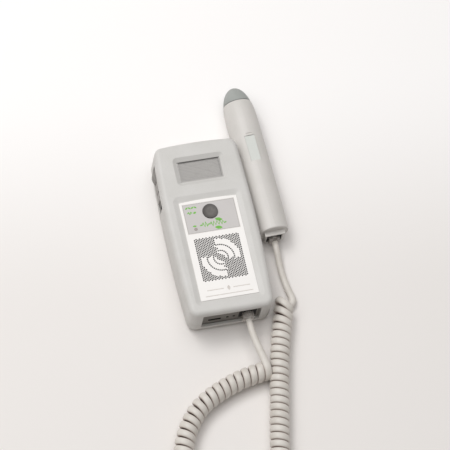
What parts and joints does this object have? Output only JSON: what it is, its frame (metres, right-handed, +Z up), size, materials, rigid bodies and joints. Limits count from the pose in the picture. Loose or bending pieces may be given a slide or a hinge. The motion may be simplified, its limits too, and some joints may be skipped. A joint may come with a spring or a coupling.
{
  "type": "fetal doppler monitor",
  "caption": "Hand-held fetal doppler monitor lying on its back, with display, speaker field, power button and side controls, and a pencil probe on a curly cord.",
  "frame": {"origin": "centre of the monitor's flat back face, on the surface it rests on", "axes": "+X to the monitor's right, +Y along the case towards the display end, +Z up out of the front face"},
  "size_m": [0.1309, 0.3662, 0.0332],
  "materials": {
    "case_plastic": "fine satin texture",
    "probe_plastic": "satin",
    "tip_rubber": "matte, soft",
    "dark_plastic": "satin",
    "black_plastic": "satin",
    "button_rubber": "matte",
    "label_film": "semi-gloss printed film",
    "patch_film": "semi-gloss film",
    "window_glass": "clear, glossy",
    "lcd_glass": "grey-green display",
    "light_pipe": "translucent",
    "cloth": "woven",
    "cord_jacket": "satin flexible jacket",
    "clear_plastic": "clear",
    "contact_gold": "plated",
    "steel": "plated",
    "circuit_board": "solder mask",
    "paper_cone": "pressed paper",
    "cell_jacket": "satin sleeve",
    "piezo_ceramic": "silvered ceramic",
    "backing_resin": "filled resin"
  },
  "bodies": {
    "case": {"front_housing": "case_plastic", "rear_housing": "case_plastic", "display_window": "window_glass", "lcd_frame": "black_plastic", "lcd_panel": "lcd_glass", "front_label": "label_film", "grille_cloth": "cloth", "power_switch": "black_plastic", "status_led": "light_pipe", "speaker_frame": "steel", "speaker_cone": "paper_cone", "speaker_magnet": "steel", "main_board": "circuit_board", "board_chips": "black_plastic", "board_screws": "steel", "control_bezel": "dark_plastic", "volume_pot": "steel", "key_board": "circuit_board", "key_switches": "black_plastic", "headphone_jack": "black_plastic", "jack_panel": "dark_plastic", "unit_jack": "black_plastic", "charge_port": "black_plastic", "panel_pins": "steel", "battery_cells": "cell_jacket", "battery_contacts": "steel", "housing_screws": "steel", "unit_plug": "clear_plastic", "unit_plug_contacts": "contact_gold", "cord_tail_unit": "cord_jacket", "cord_coil": "cord_jacket", "cord_tail_probe": "cord_jacket"},
    "power_button": {"power_button": "button_rubber"},
    "side_key_1": {"side_key_1": "button_rubber"},
    "side_key_2": {"side_key_2": "button_rubber"},
    "volume_wheel": {"volume_wheel": "dark_plastic"},
    "battery_door": {"battery_door": "case_plastic"},
    "probe": {"probe_body": "probe_plastic", "probe_tip": "tip_rubber", "probe_crystals": "piezo_ceramic", "probe_backing": "backing_resin", "probe_board": "circuit_board", "probe_end_cap": "probe_plastic", "probe_jack": "black_plastic", "probe_label": "patch_film", "probe_plug": "clear_plastic", "probe_plug_contacts": "contact_gold", "tip_seal": "black_plastic"}
  },
  "joints": [
    {"name": "power_button_press", "type": "slide", "parent": "case", "child": "power_button", "axis": [0, 0, -1], "range_m": [0, 0.0008], "stiffness_N_per_m": 600, "springref_m": -0.0005},
    {"name": "side_key_1_press", "type": "slide", "parent": "case", "child": "side_key_1", "axis": [1, 0, 0], "range_m": [0, 0.0005], "stiffness_N_per_m": 600, "springref_m": -0.0005},
    {"name": "side_key_2_press", "type": "slide", "parent": "case", "child": "side_key_2", "axis": [1, 0, 0], "range_m": [0, 0.0005], "stiffness_N_per_m": 600, "springref_m": -0.0005},
    {"name": "volume_wheel_turn", "type": "hinge", "parent": "case", "child": "volume_wheel", "pos_m": [-0.02768, 0.0538, 0.0151], "axis": [0, 0, 1], "range_deg": [-135, 135]},
    {"name": "battery_door_slide", "type": "slide", "parent": "case", "child": "battery_door", "axis": [0, -1, 0], "range_m": [0, 0.012]},
    {"name": "probe_lift", "type": "slide", "parent": "case", "child": "probe", "axis": [0, 0, 1], "range_m": [0, 0.06]}
  ]
}
